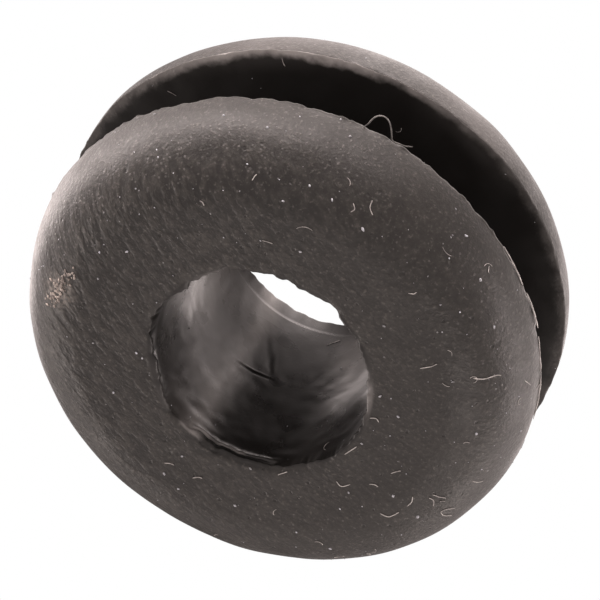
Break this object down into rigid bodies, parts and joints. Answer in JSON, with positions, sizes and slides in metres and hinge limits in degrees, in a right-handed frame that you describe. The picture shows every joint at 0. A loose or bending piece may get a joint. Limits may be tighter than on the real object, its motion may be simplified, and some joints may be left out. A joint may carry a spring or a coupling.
{
  "type": "rubber grommet",
  "caption": "Moulded rubber grommet: a ring with two equal round-shouldered flanges, a panel groove between them and a through bore for a cable.",
  "frame": {"origin": "on the bore axis at the middle of the groove, which is the mid-plane of the panel that the grommet fits; it is also the centre of the part's box", "axes": "+Z along the bore axis; the part is round about Z and the two flanges are alike, and it rests on the flange at -Z"},
  "size_m": [0.014, 0.014, 0.0068],
  "materials": {
    "rubber": "matt to satin black rubber with a warm grey bloom, faint parallel mould marks, dust and a slightly ragged moulding edge",
    "lint": "pale dust specks and short curled fibres lying on the rubber"
  },
  "bodies": {
    "root": {"grommet": "rubber"}
  },
  "joints": []
}
